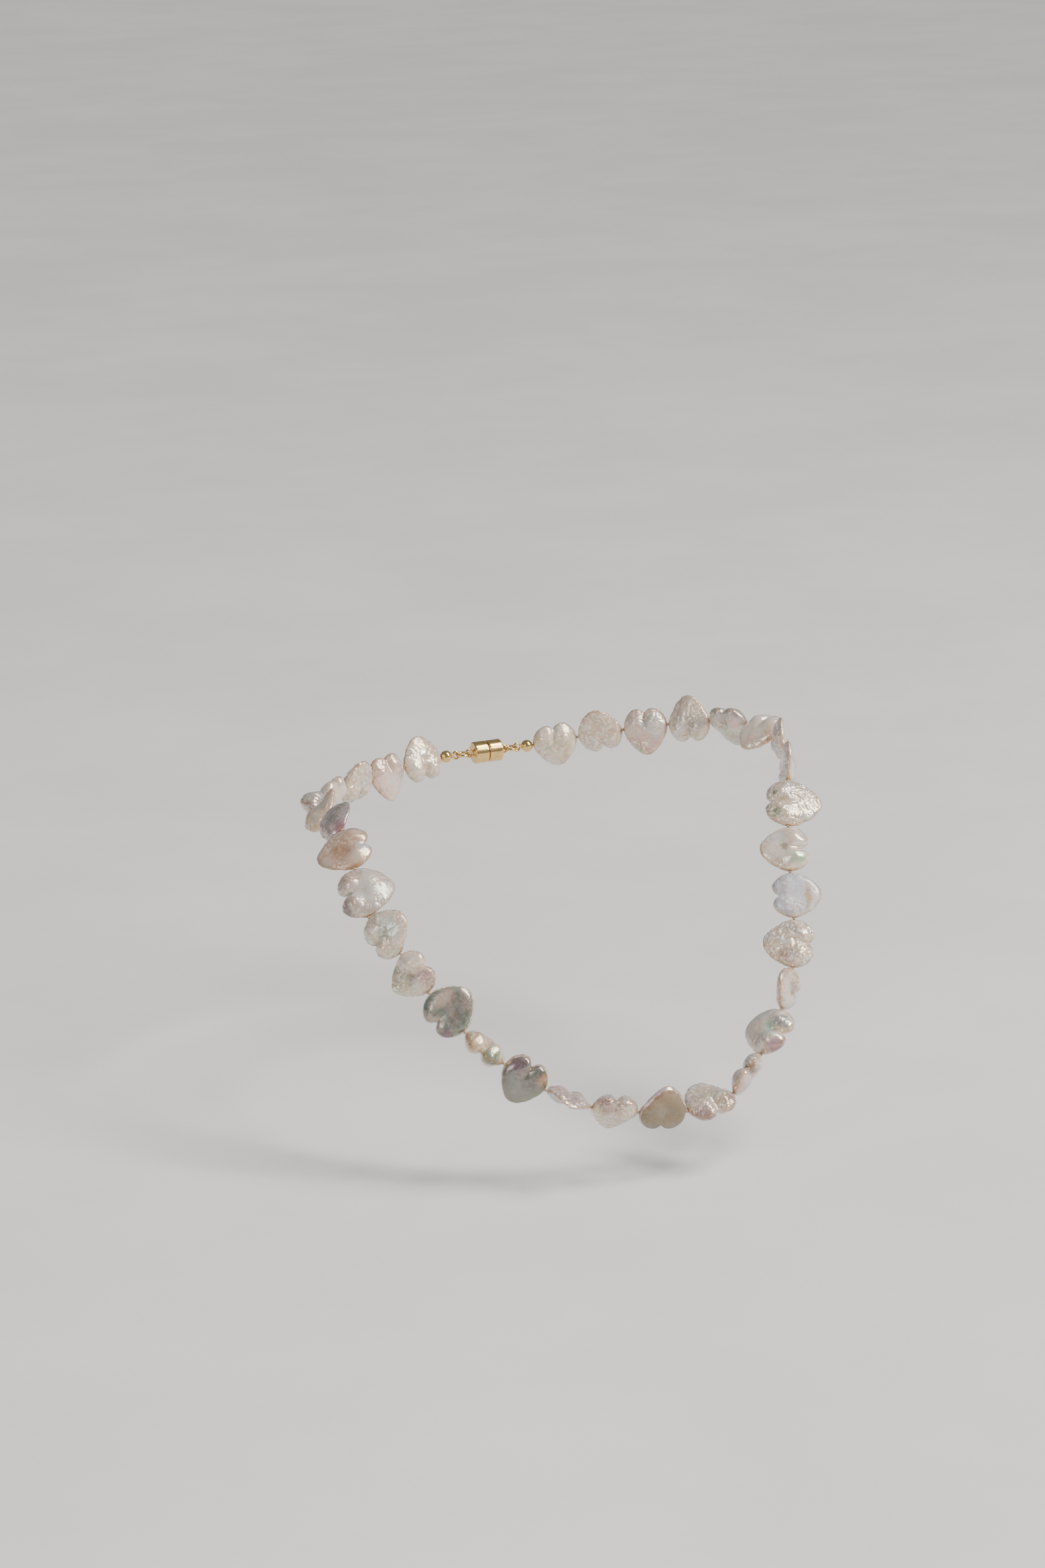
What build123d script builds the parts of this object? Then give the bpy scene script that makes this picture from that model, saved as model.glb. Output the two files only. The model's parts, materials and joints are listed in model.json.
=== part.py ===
"""Knotted necklace of heart-shaped freshwater pearls, in the shape it takes when worn.

Millimetres. The origin is the centre of the neck opening, +X to the right of someone who
faces the wearer, -Y out of the chest and +Z up. Pearls are numbered from the left end of
the strand (at the nape), down across the chest and up to the right end.
"""
import math
import os

from build123d import *

# ---- the strand -------------------------------------------------------------------------
FRONT_POINT = (4, -60.3, -35.6)  # lowest point of the strand, on the breastbone
CLASP_X = 3.3  # where the two clasp faces meet, a little off the middle of the nape
NAPE_Y = 60.0
NAPE_Z = 25.5
FITTINGS = 13.0  # clasp face to the last pearl, along the nape, on each side
RIGHT_ROUTE = [
    (18.9, -59.2, -33.5),
    (28.4, -54.8, -26.4),
    (42.5, -44, -9.6),
    (48.7, -30.1, 10.7),
    (56.8, -12.5, 29),
    (61.9, -1.6, 32.7),
    (64.3, 10.3, 34.6),
    (61.8, 22.4, 34.7),
    (47.9, 42.4, 31.5),
    (27.7, 55.8, 27.3),
]
LEFT_ROUTE = [
    (-6.5, -59.1, -34.2),
    (-18.1, -57, -31.6),
    (-37.1, -48.8, -20),
    (-50.8, -36.3, -4),
    (-55, -29.1, 4.4),
    (-59.7, -20.3, 11.7),
    (-59.1, -9.6, 21.1),
    (-57.9, 2.5, 27.6),
    (-58.7, 13.5, 27.5),
    (-56.7, 25.5, 26.1),
    (-42.7, 45, 24.7),
    (-21.4, 56.7, 25),
]

# ---- pearls -----------------------------------------------------------------------------
GAP = 0.5  # between the drill mouths of neighbouring pearls, filled by a knot
LEFT_OF_FRONT = 10.6  # from the front point to the knot on the left of the middle pearl
LEFT_WIDTHS = [11.5, 11.3, 11.5, 11.4, 12.4, 11.4, 11.9, 13.7, 13.3, 10.6, 11.7]
RIGHT_WIDTHS = [12.0, 12.8, 12.2, 12.9, 10.7, 12.6, 11.8, 11.9, 13.9, 12.1, 11.7, 11.9]
NAPE_PEARLS = 5  # on each side, hidden by the neck, sharing what is left of the strand
BORE_R = 0.45
HEIGHT_TO_WIDTH = 1.03  # lobe tops to tip, over the width along the bore
BORE_DEPTH = 0.4  # share of the height between the lobe tops and the bore
LOBE_R = 0.21  # lobes, sides, tip and notch radii, as shares of the width
SIDE_R = 0.46
TIP_R = 0.26
NOTCH_R = 0.07
EDGE_ROUND = 0.44  # edge radius over thickness
CHEST_FACING = Vector(-0.36, -0.89, 0.28)  # where a pearl that lies flat on the chest faces

# turn of each pearl about its bore: at 0 the tip points up or in to the neck, at 180 down
# or out, at 90 away from the chest and at -90 into it
TURNS = [15, 190, -20, 165, 240]
TURNS += [0, 0, 180, 0, 25, 205, 0, 285, 190, 90, 235, 35]
TURNS += [-55, 255, -45, 60, 0, 180, 0, 180, 85, 100, 30]
TURNS += [150, 10, 195, -15, 170]
THICKNESS = [5.0, 4.6, 5.2, 4.8, 5.0]
THICKNESS += [4.8, 4.4, 5.0, 5.2, 5.0, 5.4, 5.0, 5.4, 5.4, 4.2, 5.4, 4.8]
THICKNESS += [5.2, 4.6, 5.6, 5.0, 5.4, 4.8, 5.2, 5.4, 4.4, 4.4, 5.0]
THICKNESS += [5.2, 4.8, 5.0, 4.6, 5.2]

# ---- silk -------------------------------------------------------------------------------
THREAD_R = 0.25
KNOT_R = 0.5
KNOT_LENGTH = 0.5
KNOT_ROUND = 0.15
KNOT_SINK = 0.2  # where thread ends inside a knot, from the knot's middle
THREAD_END = 0.65  # from the middle of a knot that flexes to the neighbouring length
PEARLS_PER_LENGTH = 2
END_KNOT_R = 0.7
END_KNOT_LENGTH = 1.0
END_KNOT_ROUND = 0.3

# ---- fittings, by distance from the strand's last knot towards the clasp face -------------
SHELL_R = 1.6
SHELL_WALL = 0.3
SHELL_HOLE_R = 0.55
SHELL_AT = 1.5
END_KNOT_AT = 0.9
NECK_R = 0.27  # stem between the shell and its eye
NECK = 0.3
EYE_R = 0.95  # to the middle of the wire
EYE_WIRE_R = 0.3
RING_R = 1.6
RING_WIRE_R = 0.35
PLAY = 0.05  # between linked rings, pulled taut
OVERLAP = 0.15  # how far an eye is sunk into what it is cast on
CUP_R = 2.9
CUP_ROUND = 0.4
FACE_GAP = 0.12  # between the two closed cups
MAGNET_R = 2.05
MAGNET_LENGTH = 2.9
MAGNET_PLAY = 0.06

shell_eye_at = SHELL_AT + SHELL_R + NECK + EYE_R
ring_at = shell_eye_at + EYE_R - EYE_WIRE_R - PLAY - RING_WIRE_R + RING_R
cup_eye_at = ring_at + RING_R - RING_WIRE_R - PLAY - EYE_WIRE_R + EYE_R
cup_back = cup_eye_at + EYE_R + EYE_WIRE_R - OVERLAP
cup_face = FITTINGS - FACE_GAP / 2


def half_strand(route, side):
    """One half of the strand's line, from the front point to the last knot at the nape."""
    last_knot = (CLASP_X + side * FITTINGS, NAPE_Y, NAPE_Z)
    with BuildLine() as half:
        points = [FRONT_POINT, *route, last_knot]
        Spline(points, tangents=[(side, 0, 0), (-side, 0, 0)], tangent_scalars=[1, 1])
    return half.edge()


def knot_stations(first, widths, length):
    """Distances of the knots from the front point along one half."""
    stations = [first]
    for width in widths:
        stations.append(stations[-1] + width + GAP)
    spare = (length - stations[-1]) / NAPE_PEARLS
    for _ in range(NAPE_PEARLS):
        stations.append(stations[-1] + spare)
    return stations


def knots_on(half, stations):
    return [half.position_at(s, position_mode=PositionMode.LENGTH) for s in stations]


def nape_point(side, distance):
    """A point on the nape line, at a distance from that side's last knot to the clasp."""
    return Vector(CLASP_X + side * (FITTINGS - distance), NAPE_Y, NAPE_Z)


def aim(last, neighbour, side):
    """Move a strand's last knot so that its pearl's bore points at the end knot."""
    end_knot = nape_point(side, END_KNOT_AT)
    return end_knot + (neighbour - end_knot).normalized() * (last - end_knot).length


right_half = half_strand(RIGHT_ROUTE, 1)
left_half = half_strand(LEFT_ROUTE, -1)
middle_pitch = RIGHT_WIDTHS[0] + GAP
right_stations = knot_stations(middle_pitch - LEFT_OF_FRONT, RIGHT_WIDTHS[1:], right_half.length)
left_stations = knot_stations(LEFT_OF_FRONT, LEFT_WIDTHS, left_half.length)
knots = knots_on(left_half, left_stations)[::-1] + knots_on(right_half, right_stations)
pearl_count = len(knots) - 1
knots[0] = aim(knots[0], knots[1], -1)
knots[-1] = aim(knots[-1], knots[-2], 1)
first_on_chest = NAPE_PEARLS + 1
last_on_chest = pearl_count - NAPE_PEARLS


def facing(centre, number):
    """Where the flat of a pearl faces before it is turned: off the neck at the nape."""
    if first_on_chest <= number <= last_on_chest:
        return CHEST_FACING
    return Vector(centre.X, centre.Y, 0)


def pearl_plane(number):
    """Local X along the bore, local -Y to the tip, local Z out of the flat."""
    start, end = knots[number - 1], knots[number]
    centre = (start + end) / 2
    along = (end - start).normalized()
    out = facing(centre, number)
    out = (out - along * out.dot(along)).normalized()
    up = out.cross(along)
    turn = math.radians(TURNS[number - 1])
    tip = up * math.cos(turn) + out * math.sin(turn)
    return Plane(origin=centre, x_dir=along, z_dir=along.cross(tip * -1))


def arc_between(centre, radius, start, end):
    """Arc about centre from start to end, the short way round."""
    first = math.degrees(math.atan2(start[1] - centre[1], start[0] - centre[0]))
    last = math.degrees(math.atan2(end[1] - centre[1], end[0] - centre[0]))
    sweep_angle = (last - first + 180) % 360 - 180
    CenterArc(centre, radius, first, sweep_angle)


def heart_half(width):
    """Right half of a heart's outline as tangent arcs; the bore lies along X at Y = 0."""
    height = width * HEIGHT_TO_WIDTH
    lobe_top = height * BORE_DEPTH
    lobe_r, side_r = width * LOBE_R, width * SIDE_R
    tip_r, notch_r = width * TIP_R, width * NOTCH_R
    lobe_y = lobe_top - lobe_r
    side_x = width / 2 - side_r
    lobe_x = side_x + math.sqrt((side_r - lobe_r) ** 2 - lobe_y**2)
    notch_y = lobe_y + math.sqrt((lobe_r + notch_r) ** 2 - lobe_x**2)
    tip_y = lobe_top - height + tip_r
    to_tip = math.hypot(side_x, tip_y)
    lean = math.asin((side_r - tip_r) / to_tip) + math.atan2(side_x, -tip_y)

    lobe, side, tip, notch = (lobe_x, lobe_y), (side_x, 0), (0, tip_y), (0, notch_y)
    notch_share = lobe_r / (lobe_r + notch_r)
    notch_end = (lobe_x * (1 - notch_share), lobe_y + (notch_y - lobe_y) * notch_share)
    lobe_share = side_r / (side_r - lobe_r)
    lobe_end = (side_x + (lobe_x - side_x) * lobe_share, lobe_y * lobe_share)
    flank = (math.cos(lean), -math.sin(lean))
    flank_top = (side_x + side_r * flank[0], side_r * flank[1])
    flank_end = (tip_r * flank[0], tip_y + tip_r * flank[1])

    arc_between(notch, notch_r, (0, notch_y - notch_r), notch_end)
    arc_between(lobe, lobe_r, notch_end, lobe_end)
    arc_between(side, side_r, lobe_end, flank_top)
    Line(flank_top, flank_end)
    arc_between(tip, tip_r, flank_end, (0, tip_y - tip_r))


def make_pearl(number):
    """A heart drilled across its lobes, as wide as its two knots leave room for."""
    plane = pearl_plane(number)
    width = (knots[number] - knots[number - 1]).length - GAP
    thickness = THICKNESS[number - 1]
    with BuildPart() as pearl:
        with BuildSketch(plane):
            with BuildLine():
                heart_half(width)
                mirror(about=Plane.YZ)
            make_face()
        extrude(amount=thickness / 2, both=True)
        flats = pearl.faces().filter_by(lambda face: abs(face.normal_at().dot(plane.z_dir)) > 0.99)
        fillet(flats.edges(), radius=thickness * EDGE_ROUND)
        with BuildSketch(Plane(origin=knots[number - 1], z_dir=plane.x_dir)):
            Circle(BORE_R)
        extrude(amount=width + 2 * GAP, mode=Mode.SUBTRACT)
    return pearl


def straight(start, end):
    """A straight length of thread, fused into the part being built."""
    from_start = (Align.CENTER, Align.CENTER, Align.MIN)
    with Locations(Plane(origin=start, z_dir=end - start)):
        Cylinder(THREAD_R, (end - start).length, align=from_start)


def knot_at(centre, along, radius, length, rounding):
    """A tight knot: a barrel round the thread, made before the thread is fused to it."""
    with BuildPart(mode=Mode.PRIVATE) as knot:
        with BuildSketch(Plane(origin=centre, z_dir=along)):
            Circle(radius)
        extrude(amount=length / 2, both=True)
        fillet(knot.edges(), radius=rounding)
    add(knot.part)


def make_thread(knot_numbers, tied, end_knot=None):
    """A straight length through each pearl, with a knot at each number in tied.

    An end that isn't tied stops short of the neighbouring length's knot. A strand's last
    length runs on into its bead tip and ends in a larger knot at end_knot.
    """
    with BuildPart() as thread:
        for n in tied:
            along = (knots[n + 1] - knots[n - 1]).normalized()
            knot_at(knots[n], along, KNOT_R, KNOT_LENGTH, KNOT_ROUND)
        for n, m in zip(knot_numbers[:-1], knot_numbers[1:]):
            end, short = knots[m], KNOT_SINK if m in tied else THREAD_END
            if end_knot is not None:
                end, short = end_knot, KNOT_SINK
            along = (end - knots[n]).normalized()
            start_at = KNOT_SINK if n in tied else THREAD_END
            straight(knots[n] + along * start_at, end - along * short)
        if end_knot is not None:
            knot_at(end_knot, along, END_KNOT_R, END_KNOT_LENGTH, END_KNOT_ROUND)
    return thread


def upright_eye(side, distance):
    """A wire eye standing in the XZ plane."""
    with Locations(Location(nape_point(side, distance), (90, 0, 0))):
        Torus(EYE_R, EYE_WIRE_R)


def make_bead_tip(side):
    """Clamshell closed round the end knot, with its eye on a stem towards the clasp."""
    centre = nape_point(side, SHELL_AT)
    hole_x = math.sqrt(SHELL_R**2 - SHELL_HOLE_R**2)
    inner = SHELL_R - SHELL_WALL
    inner_x = math.sqrt(inner**2 - SHELL_HOLE_R**2)
    stem_x = math.sqrt(SHELL_R**2 - NECK_R**2)
    stem_end = SHELL_R + NECK
    with BuildPart() as tip:
        with BuildSketch(Plane(origin=centre, x_dir=(-side, 0, 0), z_dir=(0, -side, 0))):
            with BuildLine():
                ThreePointArc((-hole_x, SHELL_HOLE_R), (0, SHELL_R), (stem_x, NECK_R))
                Polyline((stem_x, NECK_R), (stem_end, NECK_R), (stem_end, 0), (inner, 0))
                ThreePointArc((inner, 0), (0, inner), (-inner_x, SHELL_HOLE_R))
                Line((-inner_x, SHELL_HOLE_R), (-hole_x, SHELL_HOLE_R))
            make_face()
        revolve(axis=Axis(centre, (1, 0, 0)))
        upright_eye(side, shell_eye_at)
    return tip


def make_jump_ring(side):
    """Soldered ring lying flat, so that it links the two upright eyes."""
    with BuildPart() as ring:
        with Locations(nape_point(side, ring_at)):
            Torus(RING_R, RING_WIRE_R)
    return ring


def make_magnet_cup(side):
    """Turned cup of the magnetic clasp, with its eye cast on the back."""
    back = nape_point(side, cup_back)
    face = nape_point(side, cup_face)
    with BuildPart() as cup:
        with BuildSketch(Plane(origin=back, z_dir=(-side, 0, 0))):
            Circle(CUP_R)
        extrude(amount=cup_face - cup_back)
        fillet(cup.edges(), radius=CUP_ROUND)
        with BuildSketch(Plane(origin=face, z_dir=(side, 0, 0))):
            Circle(MAGNET_R + MAGNET_PLAY)
        extrude(amount=MAGNET_LENGTH + MAGNET_PLAY, mode=Mode.SUBTRACT)
        upright_eye(side, cup_eye_at)
    return cup


def make_magnet(side):
    """Disc magnet held in its cup, its face level with the rim."""
    with BuildPart() as magnet:
        with BuildSketch(Plane(origin=nape_point(side, cup_face), z_dir=(side, 0, 0))):
            Circle(MAGNET_R)
        extrude(amount=MAGNET_LENGTH)
    return magnet


def save(built, name):
    built.part.label = name
    export_step(built.part, f"parts/{name}.step")


def thread_lengths():
    """Name, knot numbers, tied knots and side of each length between flexing knots."""
    front = len(left_stations) - 1
    lengths = [("thread_front", [front - 1, front, front + 1, front + 2], [front, front + 1], 0)]
    for side, word, start, last in ((-1, "left", front - 1, 0), (1, "right", front + 2, pearl_count)):
        number = 1
        while start != last:
            steps = min(PEARLS_PER_LENGTH, abs(last - start))
            run = [start + side * k for k in range(steps + 1)]
            lengths.append((f"thread_{word}_{number}", run, run[:-1], side))
            start = run[-1]
            number += 1
    return lengths


os.makedirs("parts", exist_ok=True)

for number in range(1, pearl_count + 1):
    save(make_pearl(number), f"pearl_{number:02d}")

for name, run, tied, side in thread_lengths():
    last = run[-1] in (0, pearl_count)
    save(make_thread(run, tied, nape_point(side, END_KNOT_AT) if last else None), name)

for side, word in ((-1, "left"), (1, "right")):
    save(make_bead_tip(side), f"bead_tip_{word}")
    save(make_jump_ring(side), f"jump_ring_{word}")
    save(make_magnet_cup(side), f"magnet_cup_{word}")
    save(make_magnet(side), f"magnet_{word}")
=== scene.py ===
"""Looks of a knotted necklace of heart-shaped freshwater pearls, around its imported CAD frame.

Metres, in the frame's own axes. Each pearl, length of silk and fitting is a detailed mesh
that stands where its CAD node stands and rides on that node's body.
"""

import itertools
import json
import math

import bmesh
import bpy
import numpy as np
from mathutils import Matrix, Vector

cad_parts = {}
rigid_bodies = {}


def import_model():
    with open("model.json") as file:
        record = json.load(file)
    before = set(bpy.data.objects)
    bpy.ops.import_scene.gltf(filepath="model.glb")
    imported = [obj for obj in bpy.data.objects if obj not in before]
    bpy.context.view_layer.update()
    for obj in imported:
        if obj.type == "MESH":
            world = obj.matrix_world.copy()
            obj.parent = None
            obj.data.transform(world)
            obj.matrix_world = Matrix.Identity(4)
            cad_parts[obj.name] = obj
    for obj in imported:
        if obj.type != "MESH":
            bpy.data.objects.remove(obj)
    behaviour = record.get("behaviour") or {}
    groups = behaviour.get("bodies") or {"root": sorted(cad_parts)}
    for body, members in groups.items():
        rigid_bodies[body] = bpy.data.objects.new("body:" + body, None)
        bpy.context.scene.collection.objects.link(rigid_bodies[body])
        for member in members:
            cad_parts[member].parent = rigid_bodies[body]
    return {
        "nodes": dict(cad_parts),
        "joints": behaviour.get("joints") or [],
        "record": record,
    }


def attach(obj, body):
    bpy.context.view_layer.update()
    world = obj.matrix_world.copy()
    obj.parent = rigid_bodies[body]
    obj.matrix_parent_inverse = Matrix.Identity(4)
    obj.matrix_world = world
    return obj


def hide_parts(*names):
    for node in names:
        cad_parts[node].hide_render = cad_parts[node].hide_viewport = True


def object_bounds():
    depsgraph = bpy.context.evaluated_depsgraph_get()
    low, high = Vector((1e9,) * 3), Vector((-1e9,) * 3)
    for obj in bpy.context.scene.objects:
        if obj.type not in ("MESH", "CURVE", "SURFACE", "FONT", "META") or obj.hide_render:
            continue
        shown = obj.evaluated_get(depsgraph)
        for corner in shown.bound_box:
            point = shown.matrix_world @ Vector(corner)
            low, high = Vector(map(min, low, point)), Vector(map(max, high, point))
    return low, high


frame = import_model()
cad_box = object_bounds()

MM = 0.001

# ---- view ---------------------------------------------------------------------------------
VIEW_AZIMUTH, VIEW_ELEVATION, VIEW_ROLL = -21.76, 16.0, -1.51  # degrees
VIEW_DISTANCE = 0.933
VIEW_TARGET = Vector((-0.0346, -0.0600, 0.0522))
LENS = 92.05  # mm, on the default 36 mm sensor
FLOOR_BELOW = 0.012  # under the lowest pearl
FLOOR_HALF = 9.0

# ---- pearls -------------------------------------------------------------------------------
HEIGHT_TO_WIDTH = 1.03  # the same heart as the CAD solids
BORE_DEPTH = 0.4
LOBE_R, SIDE_R, TIP_R, NOTCH_R = 0.21, 0.46, 0.26, 0.07
GAP = 0.5 * MM
BORE_R = 0.42 * MM
ZONE_DEPTH = 0.9  # how far a tinted zone reaches through a pearl, in half thicknesses
GRID = 44  # quads along each edge of the cube that a pearl's mesh starts from
WRINKLE_DEPTH, SWELL_DEPTH = 0.26 * MM, 0.22 * MM  # how far the surface is moved in and out
FLAT_SHARE = 0.22  # of that movement that is left on a flat face
DRILL_REACH = 0.7  # of the width, each way from the middle, so that the drill comes out


def unit(v):
    return v / np.linalg.norm(v)


def toward_viewer():
    az, el = math.radians(VIEW_AZIMUTH), math.radians(VIEW_ELEVATION)
    return Vector((math.sin(az) * math.cos(el), -math.cos(az) * math.cos(el), math.sin(el)))


def place_camera():
    back, roll = toward_viewer(), math.radians(VIEW_ROLL)
    right = Vector((0, 0, 1)).cross(back).normalized()
    up = back.cross(right)
    turned_right = right * math.cos(roll) + up * math.sin(roll)
    turned_up = up * math.cos(roll) - right * math.sin(roll)
    camera = bpy.data.objects.new("camera", bpy.data.cameras.new("camera"))
    bpy.context.scene.collection.objects.link(camera)
    camera.data.lens = LENS
    camera.data.clip_start = 0.01
    axes = Matrix((turned_right, turned_up, back)).transposed().to_4x4()
    camera.matrix_world = Matrix.Translation(VIEW_TARGET + back * VIEW_DISTANCE) @ axes
    bpy.context.scene.camera = camera


# ---- noise, for shapes ----------------------------------------------------------------------
def hashed(cells, seed):
    h = cells[:, 0] * 374761393 + cells[:, 1] * 668265263 + cells[:, 2] * 915488749 + seed * 144269504
    h &= 0xFFFFFFFF
    h = ((h ^ (h >> 13)) * 1274126177) & 0xFFFFFFFF
    return h ^ (h >> 16)


def noise(points, seed):
    """Gradient noise, about -0.7 to 0.7, at each row of points."""
    base = np.floor(points)
    f = points - base
    ease = f**3 * (f * (f * 6 - 15) + 10)
    total = np.zeros(len(points))
    for corner in itertools.product((0, 1), repeat=3):
        h = hashed((base + corner).astype(np.int64), seed)
        turn = h * (2 * math.pi / 2**32)
        z = ((h * 2654435761) & 0xFFFFFFFF) / 2**31 - 1
        r = np.sqrt(np.maximum(0, 1 - z * z))
        gradient = np.stack([r * np.cos(turn), r * np.sin(turn), z], 1)
        weight = np.prod(np.where(np.array(corner) == 1, ease, 1 - ease), axis=1)
        total += weight * np.sum(gradient * (f - corner), axis=1)
    return total


def hammered(points, seed):
    """Rounded bumps between sharp valleys, about -0.5 to 0.5: how wrinkled nacre lies."""
    warp = np.stack([noise(points * 0.7, seed + k) for k in (1, 2, 3)], 1)
    bumps = np.abs(noise(points + 0.8 * warp, seed + 4))
    fine = np.abs(noise(points * 2.1 + warp, seed + 5))
    return 1.6 * bumps + 0.5 * fine - 0.5


def smooth_step(low, high, x):
    t = np.clip((x - low) / (high - low), 0, 1)
    return t * t * (3 - 2 * t)


# ---- meshes ---------------------------------------------------------------------------------
def cube_sphere(n):
    """Unit directions of a sphere made from a cube's six grids, and its quads."""
    ticks = np.tan(np.linspace(-math.pi / 4, math.pi / 4, n + 1))
    index, points, quads = {}, [], []
    for axis in range(3):
        for sign in (-1, 1):
            ids = np.zeros((n + 1, n + 1), int)
            for i, j in itertools.product(range(n + 1), repeat=2):
                p = np.zeros(3)
                p[axis], p[(axis + 1) % 3], p[(axis + 2) % 3] = sign, ticks[i], ticks[j]
                key = tuple(np.round(p, 6))
                if key not in index:
                    index[key] = len(points)
                    points.append(p / np.linalg.norm(p))
                ids[i, j] = index[key]
            for i, j in itertools.product(range(n), repeat=2):
                quad = [ids[i, j], ids[i + 1, j], ids[i + 1, j + 1], ids[i, j + 1]]
                quads.append(quad if sign > 0 else quad[::-1])
    return np.array(points), np.array(quads)


def new_object(name, verts, faces, smooth=True):
    mesh = bpy.data.meshes.new(name)
    mesh.from_pydata([tuple(v) for v in verts], [], [tuple(int(k) for k in f) for f in faces])
    mesh.update()
    if smooth:
        mesh.polygons.foreach_set("use_smooth", [True] * len(mesh.polygons))
    piece = bpy.data.objects.new(name, mesh)
    bpy.context.scene.collection.objects.link(piece)
    return piece


def sharpen(piece, degrees):
    """Keep the creases sharper than this angle sharp under smooth shading."""
    bm = bmesh.new()
    bm.from_mesh(piece.data)
    for edge in bm.edges:
        edge.smooth = edge.calc_face_angle(0) < math.radians(degrees)
    bm.to_mesh(piece.data)
    bm.free()


def cut(piece, tool):
    """Take tool's volume out of piece for good."""
    modifier = piece.modifiers.new("cut", "BOOLEAN")
    modifier.operation = "DIFFERENCE"
    modifier.solver = "MANIFOLD"
    modifier.object = tool
    bpy.context.view_layer.update()
    depsgraph = bpy.context.evaluated_depsgraph_get()
    mesh = bpy.data.meshes.new_from_object(piece.evaluated_get(depsgraph))
    piece.modifiers.clear()
    piece.data = mesh
    bpy.data.objects.remove(tool)


def tube(path, radius, sides, closed=False):
    """Vertices and faces of a tube of rings that follow path with the least twist."""
    path = np.asarray(path, float)
    count = len(path)
    ahead = np.roll(path, -1, 0) - path if closed else np.gradient(path, axis=0)
    if closed:
        ahead = ahead + (path - np.roll(path, 1, 0))
    ahead /= np.linalg.norm(ahead, axis=1)[:, None]
    side = unit(np.cross(ahead[0], [0.3, 0.5, 0.8]))
    radii = np.broadcast_to(radius, count)
    verts = []
    for k in range(count):
        side = unit(side - ahead[k] * side.dot(ahead[k]))
        over = np.cross(ahead[k], side)
        for a in np.linspace(0, 2 * math.pi, sides, endpoint=False):
            verts.append(path[k] + radii[k] * (side * math.cos(a) + over * math.sin(a)))
    faces = []
    for k in range(count if closed else count - 1):
        nxt = (k + 1) % count
        for s in range(sides):
            t = (s + 1) % sides
            faces.append((k * sides + s, k * sides + t, nxt * sides + t, nxt * sides + s))
    if not closed:
        faces.append(tuple(range(sides))[::-1])
        faces.append(tuple(range((count - 1) * sides, count * sides)))
    return verts, faces


def joined(parts):
    """Several (vertices, faces) as one."""
    verts, faces = [], []
    for v, f in parts:
        start = len(verts)
        verts.extend(v)
        faces.extend(tuple(start + k for k in face) for face in f)
    return verts, faces


# ---- where the pearls are -------------------------------------------------------------------
spin_joints = {j["child"]: j for j in frame["joints"] if j["name"].endswith("_turn")}
pearl_names = sorted(spin_joints)


def node_points(node):
    mesh = frame["nodes"][node].data
    points = np.zeros(len(mesh.vertices) * 3)
    mesh.vertices.foreach_get("co", points)
    return points.reshape(-1, 3)


class Place:
    """Where one pearl lies: bore from left to right, lobes, flat, and its measures."""

    def __init__(self, node):
        joint = spin_joints[node]
        points = node_points(node)
        self.along = unit(np.array(joint["axis"], float))
        self.centre = np.array(joint["pos_m"], float)
        offset = points - self.centre
        length = offset @ self.along
        across = offset - length[:, None] * self.along
        reach = np.linalg.norm(across, axis=1)
        tip = unit(across[reach > 0.97 * reach.max()].mean(axis=0))
        self.lobes = -tip
        self.out = np.cross(self.along, self.lobes)
        self.front = 1.0 if self.out @ np.array(toward_viewer()) > 0 else -1.0
        self.width = np.ptp(length)
        self.thickness = np.ptp(offset @ self.out)

    def world(self, local):
        axes = np.stack([self.along, self.lobes, self.out])
        return self.centre + local @ axes

    def knot(self, side):
        return self.centre + self.along * side * (self.width + GAP) / 2


places = {name: Place(name) for name in pearl_names}


# ---- pearl shapes ---------------------------------------------------------------------------
def arc_points(centre, radius, start, end, steps):
    first = math.atan2(start[1] - centre[1], start[0] - centre[0])
    last = math.atan2(end[1] - centre[1], end[0] - centre[0])
    sweep = (last - first + math.pi) % (2 * math.pi) - math.pi
    angles = first + sweep * np.linspace(0, 1, steps)
    return np.stack([centre[0] + radius * np.cos(angles), centre[1] + radius * np.sin(angles)], 1)


def heart_half(lobe_share, notch_share, tip_share):
    """Right half of a heart's outline, notch to tip, for a width of 1."""
    lobe_y = HEIGHT_TO_WIDTH * BORE_DEPTH - lobe_share
    side_x = 0.5 - SIDE_R
    lobe_x = side_x + math.sqrt((SIDE_R - lobe_share) ** 2 - lobe_y**2)
    notch_y = lobe_y + math.sqrt((lobe_share + notch_share) ** 2 - lobe_x**2)
    tip_y = HEIGHT_TO_WIDTH * (BORE_DEPTH - 1) + tip_share
    lean = math.asin((SIDE_R - tip_share) / math.hypot(side_x, tip_y)) + math.atan2(side_x, -tip_y)
    lobe, side, tip, notch = (lobe_x, lobe_y), (side_x, 0), (0, tip_y), (0, notch_y)
    share = lobe_share / (lobe_share + notch_share)
    notch_end = (lobe_x * (1 - share), lobe_y + (notch_y - lobe_y) * share)
    reach = SIDE_R / (SIDE_R - lobe_share)
    lobe_end = (side_x + (lobe_x - side_x) * reach, lobe_y * reach)
    flank = (math.cos(lean), -math.sin(lean))
    flank_top = (side_x + SIDE_R * flank[0], SIDE_R * flank[1])
    flank_end = (tip_share * flank[0], tip_y + tip_share * flank[1])
    return np.concatenate([
        arc_points(notch, notch_share, (0, notch_y - notch_share), notch_end, 24),
        arc_points(lobe, lobe_share, notch_end, lobe_end, 48),
        arc_points(side, SIDE_R, lobe_end, flank_top, 48),
        arc_points(tip, tip_share, flank_end, (0, tip_y - tip_share), 24),
    ])


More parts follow.
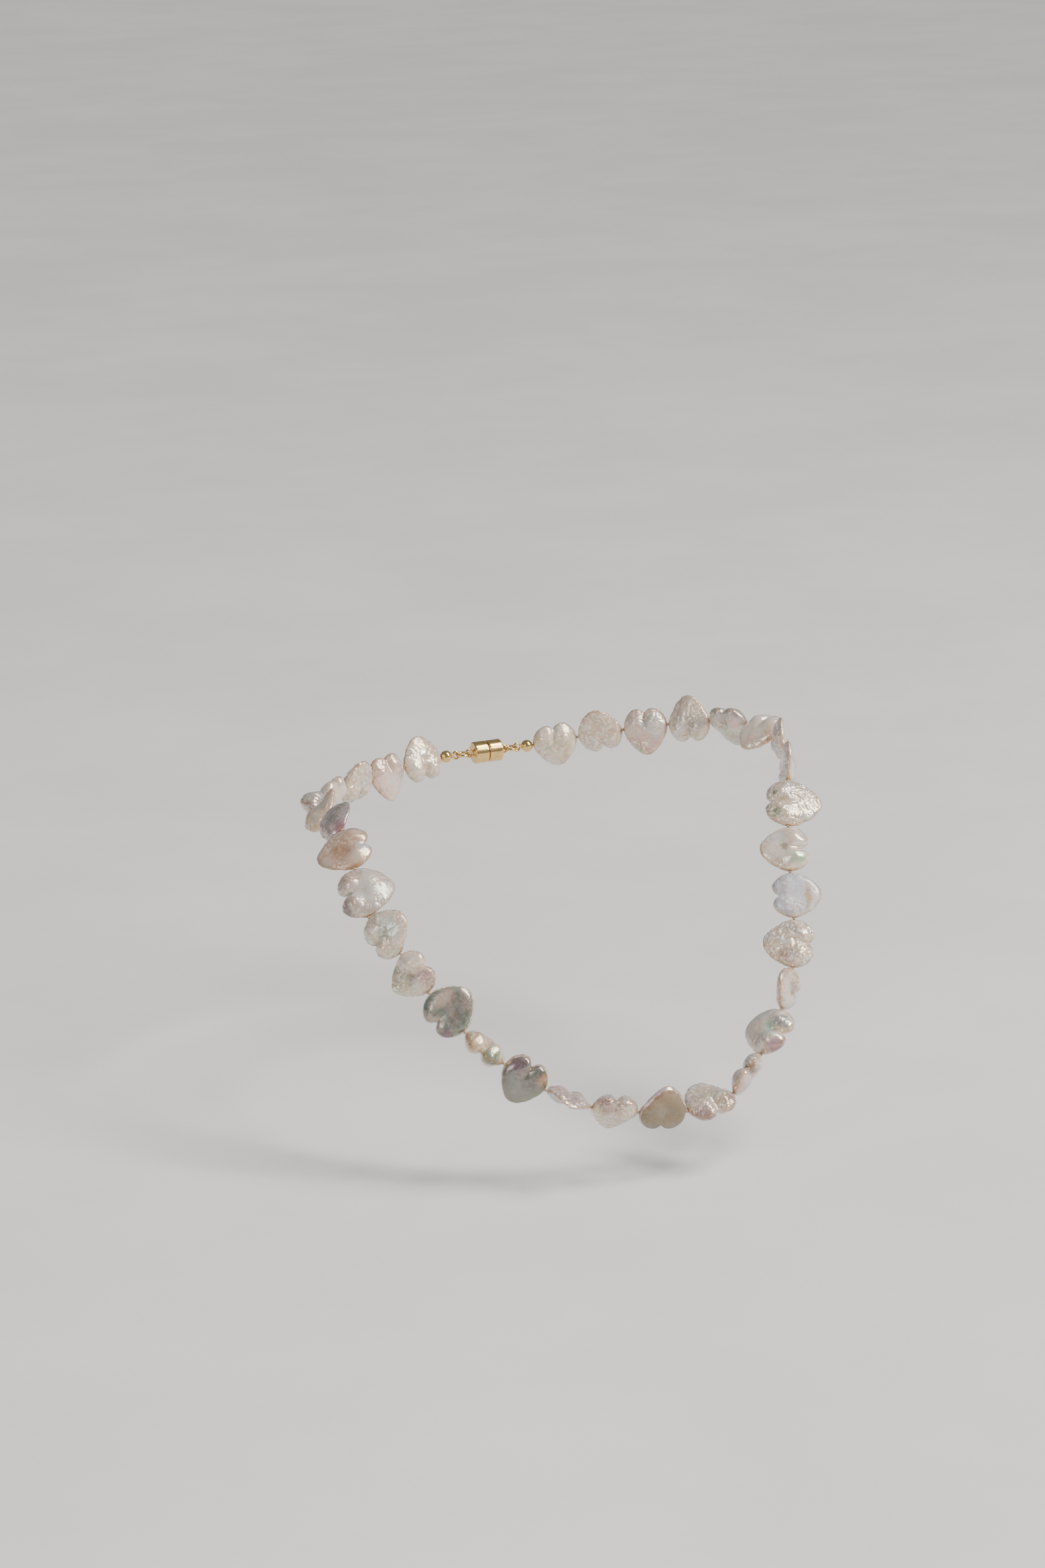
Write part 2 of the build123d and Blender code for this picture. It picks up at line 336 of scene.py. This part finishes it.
def outline_reach(angles, lobe_shares, notch_share, tip_share, notch_cut, seed):
    """Distance from the bore to the outline in each direction, for a width of 1."""
    right = heart_half(lobe_shares[0], notch_share, tip_share)
    left = heart_half(lobe_shares[1], notch_share, tip_share) * (-1, 1)
    points = np.concatenate([right, left])
    around = np.arctan2(points[:, 1], points[:, 0])
    order = np.argsort(around)
    reach = np.interp(angles, around[order], np.linalg.norm(points, axis=1)[order], period=2 * math.pi)
    random = np.random.default_rng(seed)
    wobble = np.zeros(len(angles))
    for k in (2, 3, 4, 5):
        wobble += random.normal(0, 0.024 / k) * np.cos(k * angles + random.uniform(0, 2 * math.pi))
    near_bore = np.abs(np.sin(angles)) ** 1.5
    from_notch = (angles - math.pi / 2 + math.pi) % (2 * math.pi) - math.pi
    reach = reach - notch_cut * np.exp(-((from_notch / 0.16) ** 2))
    return reach * (1 + np.clip(wobble, -0.05, 0.02) * near_bore)


sphere_points, sphere_quads = cube_sphere(GRID)


def thickness_profile(look, place, random, u, v, share, side):
    """Signed height of the surface over the pearl's mid plane, with lobes and crease."""
    swell = np.zeros(len(u))
    for sign, bulge in zip((1, -1), random.uniform(0.75, 1.1, 2) * look["lobed"]):
        swell += bulge * np.exp(-((u - sign * 0.25) ** 2 + (v - 0.14) ** 2) / 0.032)
    crease = np.exp(-((u / 0.07) ** 2)) * smooth_step(-0.15, 0.25, v)
    thin_tip = smooth_step(0.1, -0.62, v)
    plump = 0.80 + 0.36 * swell - 0.34 * look["lobed"] * crease - 0.22 * thin_tip
    on_face = side * place.front > 0 if look["flat"] else np.zeros(len(u), bool)
    plump = np.where(on_face, 0.74 + 0.12 * swell - 0.10 * crease, plump)
    power = np.where(on_face, 5.0, 2.8)
    half = look["plump"] * place.thickness / 2
    z = side * half * plump * np.sqrt(np.maximum(0, 1 - share**power))
    bend = random.normal(0, 0.5, 2) * MM
    z = z + bend[0] * (u * v * 4) + bend[1] * (4 * v * v - 0.4) * (1 - np.exp(-(v**2) / 0.02))
    return z, swell, crease, on_face


def pearl_mesh(name, look):
    """A heart-shaped pearl: swollen lobes, a crease down from the notch, a thinner tip."""
    place = places[name]
    number = int(name.split("_")[1])
    random = np.random.default_rng(1000 + number)
    width = place.width
    d = sphere_points
    angle = np.arctan2(d[:, 1], d[:, 0])
    share = np.hypot(d[:, 0], d[:, 1])
    lobe_shares = LOBE_R + random.uniform(-0.02, 0.02, 2)
    notch_share, tip_share = NOTCH_R * random.uniform(0.7, 1.2), TIP_R * random.uniform(0.8, 1.15)
    reach = width * outline_reach(angle, lobe_shares, notch_share, tip_share, look["notch"], number)
    x, y = reach * share * np.cos(angle), reach * share * np.sin(angle)
    side = np.where(d[:, 2] >= 0, 1.0, -1.0)
    u, v = x / width, y / width
    z, swell, crease, on_face = thickness_profile(look, place, random, u, v, share, side)
    local = np.stack([x, y, z], 1)

    piece = new_object("pearl_body_%02d" % number, place.world(local), sphere_quads)
    mesh = piece.data
    normals = np.zeros(len(mesh.vertices) * 3)
    mesh.vertices.foreach_get("normal", normals)
    normals = normals.reshape(-1, 3)
    from_bore = np.hypot(y, z)
    clear_of_mouth = smooth_step(0.6 * MM, 2.4 * MM, from_bore)
    in_mm = local / MM
    wrinkles = hammered(in_mm / look["wrinkle_mm"], 50 * number)
    patch = smooth_step(-0.35, 0.25, noise(in_mm / 5.0, 50 * number + 9) + look["wrinkled"])
    swells = look["plump"] ** 4 * noise(in_mm / 3.4, 50 * number + 20)
    depth = WRINKLE_DEPTH * look["depth"] * patch * wrinkles + SWELL_DEPTH * swells
    depth = np.where(on_face, FLAT_SHARE * depth, depth) * clear_of_mouth
    points = place.world(local) + normals * depth[:, None]
    mesh.vertices.foreach_set("co", points.ravel())

    masks = {
        "mouth": np.exp(-np.maximum(0, from_bore - BORE_R) / (0.4 * MM)) * (np.abs(u) > 0.3),
        "face": on_face * smooth_step(1.0, 0.90, share),
        # painted shade: where the crease runs down from the notch, for the tan tint in the material
        "crease": crease * np.abs(d[:, 2]),
        "lobes": np.clip(swell, 0, 1),
        # painted shade: a peach darkening towards the outline
        "rim": share**10,
        # painted shade: the hollows between the hammered bumps
        "valley": smooth_step(0.1, -0.45, wrinkles) * patch,
    }
    # Masks of the tinted zones, which hold painted reflection and painted shade as well as overtone
    # colour.
    spot = np.stack([u, v, place.front * z / (place.thickness / 2)], 1)
    for k, (centre, radius, _colour, _strength) in enumerate(look["zones"]):
        away = (spot - centre) / np.append(np.broadcast_to(radius, 2), ZONE_DEPTH)
        masks["zone_%d" % k] = np.exp(-np.sum(away**2, axis=1))
    for mask, values in masks.items():
        attribute = mesh.attributes.new(mask, "FLOAT", "POINT")
        attribute.data.foreach_set("value", values.astype(np.float32))
    mesh.update()

    drill_path = [place.centre + place.along * t * width for t in (-DRILL_REACH, DRILL_REACH)]
    verts, faces = tube(drill_path, BORE_R, 20)
    cut(piece, new_object("drill", verts, faces, smooth=False))
    piece.data.polygons.foreach_set("use_smooth", [True] * len(piece.data.polygons))
    sharpen(piece, 50)
    return piece


# ---- materials ------------------------------------------------------------------------------
def rgb(value):
    """A linear colour with alpha from an sRGB one given as 0xRRGGBB."""
    channels = [((value >> shift) & 255) / 255 for shift in (16, 8, 0)]
    linear = [c / 12.92 if c < 0.04045 else ((c + 0.055) / 1.055) ** 2.4 for c in channels]
    return (*linear, 1.0)


class Shader:
    """A material under construction, with short calls for the nodes it needs."""

    def __init__(self, name):
        self.material = bpy.data.materials.new(name)
        self.material.use_nodes = True
        self.tree = self.material.node_tree
        self.tree.nodes.clear()
        self.out = self.tree.nodes.new("ShaderNodeOutputMaterial")
        self.bsdf = self.tree.nodes.new("ShaderNodeBsdfPrincipled")
        self.tree.links.new(self.bsdf.outputs[0], self.out.inputs["Surface"])
        self.place = self.tree.nodes.new("ShaderNodeTexCoord").outputs["Object"]

    def put(self, target, value):
        if isinstance(value, bpy.types.NodeSocket):
            self.tree.links.new(value, target)
        else:
            target.default_value = value

    def set(self, **values):
        for name, value in values.items():
            self.put(self.bsdf.inputs[name.replace("_", " ")], value)

    def noise(self, scale, detail=3.0, rough=0.5, warp=0.0, shift=0.0):
        """Fractal noise, 0 to 1, with features of about 1 / scale metres."""
        mapping = self.tree.nodes.new("ShaderNodeMapping")
        mapping.inputs["Location"].default_value = (shift, shift * 0.7, -shift)
        self.put(mapping.inputs["Vector"], self.place)
        node = self.tree.nodes.new("ShaderNodeTexNoise")
        self.put(node.inputs["Vector"], mapping.outputs[0])
        node.inputs["Scale"].default_value = scale
        node.inputs["Detail"].default_value = detail
        node.inputs["Roughness"].default_value = rough
        node.inputs["Distortion"].default_value = warp
        return node.outputs["Fac"]

    def mask(self, name):
        node = self.tree.nodes.new("ShaderNodeAttribute")
        node.attribute_name = name
        return node.outputs["Fac"]

    def math(self, operation, a, b=0.0):
        node = self.tree.nodes.new("ShaderNodeMath")
        node.operation = operation
        self.put(node.inputs[0], a)
        self.put(node.inputs[1], b)
        return node.outputs[0]

    def remap(self, value, low, high, to_low=0.0, to_high=1.0):
        node = self.tree.nodes.new("ShaderNodeMapRange")
        node.interpolation_type = "SMOOTHSTEP"
        for socket, number in zip(node.inputs[:5], (value, low, high, to_low, to_high)):
            self.put(socket, number)
        return node.outputs[0]

    def mix(self, share, a, b, kind="MIX"):
        node = self.tree.nodes.new("ShaderNodeMix")
        node.data_type = "RGBA"
        node.blend_type = kind
        self.put(node.inputs["Factor"], share)
        self.put(node.inputs[6], a)
        self.put(node.inputs[7], b)
        return node.outputs[2]

    def ramp(self, value, stops):
        node = self.tree.nodes.new("ShaderNodeValToRGB")
        node.color_ramp.interpolation = "EASE"
        while len(node.color_ramp.elements) < len(stops):
            node.color_ramp.elements.new(0.5)
        for element, (at, colour) in zip(node.color_ramp.elements, stops):
            element.position = at
            element.color = colour
        self.put(node.inputs[0], value)
        return node.outputs[0]

    def bump(self, height, distance, strength=1.0, under=None):
        node = self.tree.nodes.new("ShaderNodeBump")
        node.inputs["Strength"].default_value = strength
        node.inputs["Distance"].default_value = distance
        self.put(node.inputs["Height"], height)
        if under is not None:
            self.put(node.inputs["Normal"], under)
        return node.outputs[0]


CREAM, WARM, SILVER = 0xF1E1D2, 0xE8CFB6, 0xDFDCDA
ROSE, GREEN, MAUVE = 0xE6BFB9, 0xBBCDB5, 0xB58FA0
TAN, PEACH, SKY = 0xBE935F, 0xD8AE8E, 0xD3D6E4


def nacre(name, look, shift):
    """Layered nacre: a pale body, soft rose and green overtones, tan where it is worn at the drill
    mouths, painted shade in the crease, the wrinkle valleys and along the outline, and tinted zones
    that are partly painted reflection and painted shade.
    """
    s = Shader(name)
    drift = s.noise(170, 2.0, 0.45, 0.6, shift)
    body = s.ramp(drift, [
        (0.28, rgb(look["second"])),
        (0.44, rgb(look["body"])),
        (0.56, rgb(look["body"])),
        (0.72, rgb(look["third"])),
    ])
    lustre = s.noise(420, 3.0, 0.55, 1.2, shift + 3)
    body = s.mix(s.remap(lustre, 0.52, 0.70, 0, 0.65), body, rgb(ROSE))
    body = s.mix(s.remap(lustre, 0.46, 0.28, 0, 0.6), body, rgb(GREEN))
    grain = s.noise(1500, 4.0, 0.6, 0.3, shift)
    body = s.mix(s.remap(grain, 0.3, 0.75, 0, 0.3), body, rgb(WARM), "MULTIPLY")
    body = s.mix(s.math("MULTIPLY", s.mask("lobes"), look["lobe_share"]), body, rgb(look["lobe"]))
    ragged = s.remap(s.noise(800, 4, 0.6, 0.6, shift), 0.3, 0.7, -0.28, 0.28)
    metal, gloss = look["metal"], s.remap(grain, 0.25, 0.75, look["rough"] * 0.7, look["rough"] * 1.4)
    # A flat face takes its own colour, metal and roughness; on pearl_12 and pearl_14 that dark
    # grey-green is a painted reflection, on pearl_17 the brown is painted shade.
    if look["flat"]:
        patches = s.remap(s.noise(190, 3.0, 0.5, 0.6, shift + 11), 0.38, 0.66)
        face = s.mix(patches, rgb(look["face"]), rgb(look["face_patch"]))
        face = s.mix(s.remap(grain, 0.3, 0.7, 0, 0.4), face, rgb(WARM), "MULTIPLY")
        on_face = s.remap(s.math("ADD", s.mask("face"), s.math("MULTIPLY", ragged, 0.6)), 0.35, 0.6)
        body = s.mix(on_face, body, face)
        metal = s.remap(on_face, 0, 1, metal, look["face_metal"])
        gloss = s.mix(on_face, gloss, (look["face_rough"],) * 3 + (1,))
    # Tinted zones: overtone colour, and painted reflection and painted shade fixed to the pearl.
    for k, (_centre, _radius, colour, strength) in enumerate(look["zones"]):
        tinted = s.math("ADD", s.mask("zone_%d" % k), s.math("MULTIPLY", ragged, 0.7))
        body = s.mix(s.remap(tinted, 0.1, 0.8, 0, strength), body, rgb(colour))
    # Painted shade: the crease from the notch is tinted towards tan.
    crease = s.math("ADD", s.mask("crease"), ragged)
    body = s.mix(s.remap(crease, 0.5, 1.1, 0, 0.5), body, rgb(TAN))
    # Painted shade: the wrinkle valleys are multiplied darker by the look's valley colour.
    body = s.mix(s.remap(s.mask("valley"), 0.2, 1.0, 0, 0.5), body, rgb(look["valley"]), "MULTIPLY")
    # Painted shade: a peach darkening along the outline.
    edge = s.math("ADD", s.mask("rim"), ragged)
    body = s.mix(s.remap(edge, 0.4, 1.1, 0, 0.55), body, rgb(PEACH), "MULTIPLY")
    worn = s.math("ADD", s.mask("mouth"), ragged)
    body = s.mix(s.remap(worn, 0.25, 0.95, 0, 0.8), body, rgb(TAN))
    s.set(Base_Color=body, Roughness=gloss, Metallic=metal)
    s.set(IOR=1.6, Specular_IOR_Level=0.6)
    s.set(Coat_Weight=0.7, Coat_Roughness=0.07, Coat_IOR=1.55)
    s.set(Subsurface_Weight=0.10, Subsurface_Scale=0.0012)
    s.set(Subsurface_Radius=(1.0, 0.7, 0.5))
    s.set(Thin_Film_Thickness=look["film"], Thin_Film_IOR=1.42)
    fine = s.bump(s.noise(1900, 4.0, 0.6, 0.8, shift), 0.00007 * look["depth"], 0.8)
    s.set(Normal=s.bump(s.noise(650, 2.0, 0.5, 1.0, shift + 7), 0.00014 * look["depth"], 0.7, fine))
    return s.material


def silk():
    s = Shader("silk_thread")
    fibre = s.noise(5200, 4.0, 0.65, 0.3)
    tone = s.ramp(fibre, [(0.3, rgb(0xAA8F69)), (0.5, rgb(0xD8C19D)), (0.75, rgb(0xF0E2C8))])
    stain = s.noise(420, 2.0)
    s.set(Base_Color=s.mix(s.remap(stain, 0.45, 0.7, 0, 0.5), tone, rgb(0xA98658)))
    s.set(Roughness=s.remap(fibre, 0.3, 0.7, 0.5, 0.8))
    s.set(Sheen_Weight=0.5, Sheen_Roughness=0.4)
    s.set(Normal=s.bump(fibre, 0.00004, 0.8))
    return s.material


def metal(name, colour, dull, rough):
    s = Shader(name)
    scratches = s.noise(2600, 5.0, 0.7, 2.5)
    tarnish = s.noise(520, 4.0, 0.6, 0.8)
    s.set(Base_Color=s.mix(s.remap(tarnish, 0.5, 0.75, 0, 0.6), rgb(colour), rgb(dull)))
    s.set(Roughness=s.remap(scratches, 0.3, 0.75, rough * 0.7, rough * 1.7))
    s.set(Metallic=1.0)
    s.set(Normal=s.bump(scratches, 0.000012, 0.5))
    return s.material


def pale_floor():
    s = Shader("pale_floor")
    mottle = s.noise(9, 4.0, 0.6)
    s.set(Base_Color=s.ramp(mottle, [(0.3, rgb(0xE4E2E0)), (0.7, rgb(0xECEAE8))]))
    s.set(Roughness=0.75, Specular_IOR_Level=0.3)
    return s.material


# ---- how each pearl looks ---------------------------------------------------------------------
PLAIN = {
    "body": CREAM, "second": SILVER, "third": WARM, "lobe": CREAM, "lobe_share": 0.2,
    # valley is the colour of the painted shade multiplied into the wrinkle valleys
    "valley": 0xD3B89C, "flat": False, "face": SKY, "face_patch": SILVER, "face_metal": 0.2,
    "face_rough": 0.4, "wrinkled": 0.1, "wrinkle_mm": 1.5, "depth": 1.0, "rough": 0.2,
    "metal": 0.28, "film": 420.0, "notch": 0.02, "lobed": 1.0, "plump": 1.0,
    "zones": [],
}
KINDS = {
    "cream": {},
    "wrinkled": {"wrinkled": 0.6, "depth": 1.5, "third": SILVER, "metal": 0.34, "rough": 0.17},
    "smooth": {"wrinkled": -0.2, "depth": 0.5, "rough": 0.18},
    "rose": {"body": 0xEACDC2, "third": ROSE, "second": SILVER},
    # grey: the dark grey-green second colour is partly a painted reflection of a dark room, over metal
    # that reflects the world as well
    "grey": {"body": 0xC9C8BF, "second": 0x8E9489, "third": ROSE, "metal": 0.45, "film": 480.0},
    "tan": {"body": 0xDFC8AE, "second": 0xC9A983, "third": CREAM, "rough": 0.26},
}


def zone(u, v, side, radius, colour, strength=0.8):
    """A tinted patch, partly the nacre's overtone colour and partly painted reflection and painted
    shade: u along the bore and v to the lobes in widths, side 1 for the front.

    Its radius is in widths too, or a pair for a band that is longer one way.
    """
    return (np.array((u, v, side)), radius, colour, strength)


def look_like(kind, **changes):
    return {**PLAIN, **KINDS[kind], **changes}


LOOKS = {
    "pearl_06": look_like("tan"),
    "pearl_07": look_like("grey", body=0xB9B0B4, third=MAUVE, depth=0.5, plump=0.82),
    # pearl_08: the browner body and the brown lower zone are partly painted shade, and the SKY zone on
    # the lobes is a painted glint.
    "pearl_08": look_like("rose", body=0xD8BCA9, second=0xC6A189, depth=0.7, plump=0.82, zones=[
        zone(0.1, -0.15, 1, 0.25, 0xB98E73, 0.7), zone(0.1, 0.3, 0.6, 0.14, SKY)]),
    "pearl_09": look_like("rose", body=0xDCD3CC, notch=0.08, zones=[
        zone(-0.3, 0.1, 1, 0.2, 0xCDAC9A, 0.7), zone(0.3, 0.38, 0.3, 0.17, 0x8C6D80)]),
    # pearl_10: the dark purple zone along the lobe edge is a painted reflection of something dark.
    "pearl_10": look_like("cream", second=GREEN, depth=1.2, zones=[
        zone(0.0, -0.3, 1, 0.3, 0xC6D1C8, 0.8), zone(0.1, 0.36, -0.2, 0.2, 0x736D7A, 0.8)]),
    "pearl_11": look_like("cream", second=GREEN, lobed=1.2, notch=0.05, zones=[
        zone(0.02, -0.08, 1, 0.19, 0x9F8370), zone(0.3, 0.26, 0.6, 0.22, 0xA98489, 0.65),
        zone(-0.05, -0.25, 1, 0.16, 0xD5DBC4, 0.7)]),
    # pearl_12: the dark grey-green face is a painted reflection of a dark room, over metal 0.5 that
    # reflects the world as well.
    "pearl_12": look_like("cream", flat=True, face=0x868F8B, face_patch=0xB5A69E, face_metal=0.5,
                          face_rough=0.27, notch=0.05, zones=[
                              zone(-0.26, -0.14, 1, (0.14, 0.3), 0xD9C3AE, 0.75),
                              zone(0.0, 0.3, 1, (0.3, 0.1), 0xC7AFA4, 0.6),
                              zone(0.32, 0.3, 0.6, 0.14, 0x7E5B72)]),
    # pearl_13: the green zone on the lobes is a painted reflection.
    "pearl_13": look_like("tan", lobed=1.2, depth=0.7, zones=[
        zone(0.22, 0.3, 0.2, 0.19, 0x74867A), zone(-0.25, 0.2, 0.8, 0.15, 0xB49675, 0.6)]),
    # pearl_14: the dark grey-green face is a painted reflection of a dark room, over metal 0.52 that
    # reflects the world as well.
    "pearl_14": look_like("grey", flat=True, face=0x828A7E, face_patch=0x92958A, face_metal=0.52,
                          face_rough=0.24, body=0xE9D8CC, second=CREAM, lobed=1.2, notch=0.07,
                          depth=0.6, zones=[
                              zone(-0.3, 0.2, 1, 0.19, 0x866A76), zone(0.3, 0.16, 1, 0.04, 0xA8662F, 1),
                              zone(0.36, 0.2, 0.7, 0.14, 0xB59A72)]),
    "pearl_15": look_like("wrinkled", body=0xEAD9D6, zones=[zone(0, -0.4, 0, 0.2, 0xB39A9E, 0.7)]),
    "pearl_16": look_like("wrinkled", depth=1.2, lobed=1.25, notch=0.05, zones=[
        zone(-0.26, 0.26, 0.4, 0.24, 0xA5858D, 0.65), zone(-0.42, 0.0, 0.3, 0.2, 0xE4D5A8, 0.7)]),
    # pearl_17: the brown matte face is painted shade, for a face turned down from the light.
    "pearl_17": look_like("rose", flat=True, face=0x8E7564, face_patch=0x9F8879, face_metal=0.08,
                          face_rough=0.5, body=0xEADCE4, third=0xD9CBE0, notch=0.03),
    "pearl_18": look_like("wrinkled", depth=1.1, lobed=1.2, notch=0.04, zones=[
        zone(-0.32, 0.3, 0.2, 0.24, 0x9E7B86, 0.7), zone(0.28, 0.26, 0.5, 0.17, 0xA48679),
        zone(0.0, 0.0, 1, 0.18, 0xD3D8C0, 0.7)]),
    "pearl_19": look_like("rose", body=0xE2D0C9, zones=[zone(0.0, 0.26, 0.3, 0.14, 0x907A5C)]),
    "pearl_20": look_like("smooth", lobed=1.25, notch=0.07, zones=[
        zone(0.0, 0.06, 1, 0.17, 0xBAD2BC), zone(-0.3, 0.3, 0.3, 0.22, 0x93697F, 0.7),
        zone(0.2, 0.26, 0.8, 0.16, 0x7F7D86)]),
    "pearl_21": look_like("rose", body=0xEDDCCF, zones=[zone(0.02, -0.08, 1, 0.17, 0xA8947A)]),
    "pearl_22": look_like("wrinkled", depth=1.6, zones=[zone(-0.25, -0.2, 1, 0.14, 0xA08D80, 0.6)]),
    "pearl_23": look_like("cream", flat=True, face=0xD0D4E6, face_patch=0xDAD8E2, notch=0.06,
                          face_metal=0.15, face_rough=0.36, zones=[
                              zone(-0.05, -0.33, 1, (0.34, 0.09), 0xC09A6C, 0.75)]),
    "pearl_24": look_like("smooth", notch=0.07, zones=[
        zone(0.0, -0.1, 1, 0.1, 0x9A8577), zone(-0.26, 0.2, 0.9, 0.19, 0xA9C4A4)]),
    "pearl_25": look_like("wrinkled", depth=1.4, wrinkle_mm=1.2, zones=[
        zone(0.14, 0.26, 1, 0.05, 0x76866E), zone(-0.3, 0.22, 1, 0.09, 0x8FA382)]),
    "pearl_26": look_like("rose", body=0xF0E3DB),
    "pearl_27": look_like("cream", second=SKY, zones=[zone(0, -0.35, 0.4, 0.14, 0x9A7F8A, 0.6)]),
}
HIDDEN_KINDS = "cream rose wrinkled smooth grey cream rose wrinkled".split()


def make_pearls():
    for k, name in enumerate(pearl_names):
        look = LOOKS.get(name) or look_like(HIDDEN_KINDS[k % len(HIDDEN_KINDS)])
        piece = pearl_mesh(name, look)
        piece.data.materials.clear()
        piece.data.materials.append(nacre("nacre_%02d" % (k + 1), look, 0.37 * k))
        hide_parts(name)
        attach(piece, name)


# ---- silk -----------------------------------------------------------------------------------
PLY_R, PLY_AT, TWIST_MM = 0.12 * MM, 0.115 * MM, 1.5
KNOT_TUBE, KNOT_RING, KNOT_WAVE = 0.13 * MM, 0.22 * MM, 0.11 * MM
FREE_END = 0.65 * MM  # from a knot that flexes to where the next length's silk begins
END_KNOT_AT, END_KNOT_SCALE = 0.9 * MM, 1.3  # the knot inside a bead tip, past the last pearl


def cross_axes(along):
    side = unit(np.cross(along, [0.2, 0.3, 0.9]))
    return side, np.cross(along, side)


def twisted(start, end):
    """Three plies laid round each other, from start to end."""
    along = unit(end - start)
    side, over = cross_axes(along)
    length = np.linalg.norm(end - start)
    t = np.linspace(0, length, max(8, int(length / (0.16 * MM))))
    parts = []
    for ply in range(3):
        a = 2 * math.pi * (t / (TWIST_MM * MM) + ply / 3)
        path = start + t[:, None] * along
        path = path + PLY_AT * (np.cos(a)[:, None] * side + np.sin(a)[:, None] * over)
        parts.append(tube(path, PLY_R, 7))
    return parts


def overhand(centre, along, scale=1.0):
    """A pulled-tight knot: a thread that winds twice round and three times through."""
    side, over = cross_axes(along)
    a = np.linspace(0, 2 * math.pi, 90, endpoint=False)
    r = KNOT_RING + KNOT_WAVE * np.cos(3 * a)
    path = np.outer(r * np.cos(2 * a), side) + np.outer(r * np.sin(2 * a), over)
    path = centre + scale * (path + np.outer(KNOT_WAVE * np.sin(3 * a), along))
    return [tube(path, KNOT_TUBE * scale, 8, closed=True)]


def silk_parts(body, names, last):
    """The twisted silk and the knots of one length, which runs through the named pearls."""
    left, right = body.startswith("left"), body.startswith("right")
    knots = [places[names[0]].knot(-1)] + [places[n].knot(1) for n in names]
    short = -END_KNOT_AT if last else FREE_END
    parts = []
    for k in range(len(names)):
        start, end = knots[k], knots[k + 1]
        along = unit(end - start)
        if k == 0 and not right:
            start = start + along * short
        if k == len(names) - 1 and not left:
            end = end - along * short
        parts += twisted(start, end)
    tied = knots[1:] if left else knots[:-1] if right else knots[1:-1]
    for point in tied:
        near = min(names, key=lambda n: np.linalg.norm(places[n].centre - point))
        parts += overhand(point, places[near].along)
    if last:
        place, side = places[names[0]], -1 if left else 1
        outer = place.knot(side) + place.along * side * END_KNOT_AT
        parts += overhand(outer, place.along, END_KNOT_SCALE)
    return parts


def make_silk():
    material = silk()
    pearls_on = {}
    for name in pearl_names:
        pearls_on.setdefault(spin_joints[name]["parent"], []).append(name)
    nodes_of = frame["record"]["behaviour"]["bodies"]
    for body, names in pearls_on.items():
        thread = next(n for n in nodes_of[body] if n.startswith("thread"))
        parts = silk_parts(body, names, thread.endswith("_8"))
        piece = new_object(thread.replace("thread", "silk"), *joined(parts))
        piece.data.materials.append(material)
        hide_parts(thread)
        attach(piece, body)


def make_fittings():
    gold = metal("gold_plate", 0xE8C583, 0xB98F4E, 0.16)
    steel = metal("plated_magnet", 0xC9CBCF, 0x8F9298, 0.2)
    for node, piece in frame["nodes"].items():
        if node.startswith(("bead_tip", "jump_ring", "magnet_cup")):
            piece.data.materials.clear()
            piece.data.materials.append(gold)
        elif node.startswith("magnet"):
            piece.data.materials.clear()
            piece.data.materials.append(steel)


# ---- stage ------------------------------------------------------------------------------------
def area_light(name, place, aim, size, power, colour=(1, 1, 1)):
    lamp = bpy.data.lights.new(name, "AREA")
    lamp.shape = "RECTANGLE"
    lamp.size, lamp.size_y = size
    lamp.energy = power
    lamp.color = colour
    holder = bpy.data.objects.new(name, lamp)
    bpy.context.scene.collection.objects.link(holder)
    holder.location = place
    holder.rotation_euler = (Vector(aim) - Vector(place)).to_track_quat("-Z", "Y").to_euler()


def make_stage():
    low = cad_box[0][2] - FLOOR_BELOW
    corners = [(x * FLOOR_HALF, y * FLOOR_HALF, low) for x, y in ((-1, -1), (1, -1), (1, 1), (-1, 1))]
    floor = new_object("floor", corners, [(0, 1, 2, 3)])
    floor.data.materials.append(pale_floor())
    world = bpy.data.worlds.new("studio")
    bpy.context.scene.world = world
    world.use_nodes = True
    background = world.node_tree.nodes["Background"]
    background.inputs["Color"].default_value = (0.86, 0.88, 0.90, 1)
    background.inputs["Strength"].default_value = 0.32
    area_light("window", (0.8, -0.8, 0.95), (0, 0, 0), (0.4, 0.55), 22.0, (1.0, 0.97, 0.94))
    area_light("fill", (-1.0, -0.5, 0.45), (0, 0, 0), (0.4, 0.4), 2.5, (0.93, 0.96, 1.0))
    daylight = bpy.data.lights.new("daylight", "SUN")
    daylight.energy, daylight.angle = 1.7, math.radians(22)
    daylight.color = (1.0, 0.98, 0.96)
    holder = bpy.data.objects.new("daylight", daylight)
    bpy.context.scene.collection.objects.link(holder)
    holder.rotation_euler = Vector((-0.45, 0.25, -1.0)).to_track_quat("-Z", "Y").to_euler()


place_camera()
make_pearls()
make_silk()
make_fittings()
make_stage()

bpy.context.view_layer.update()
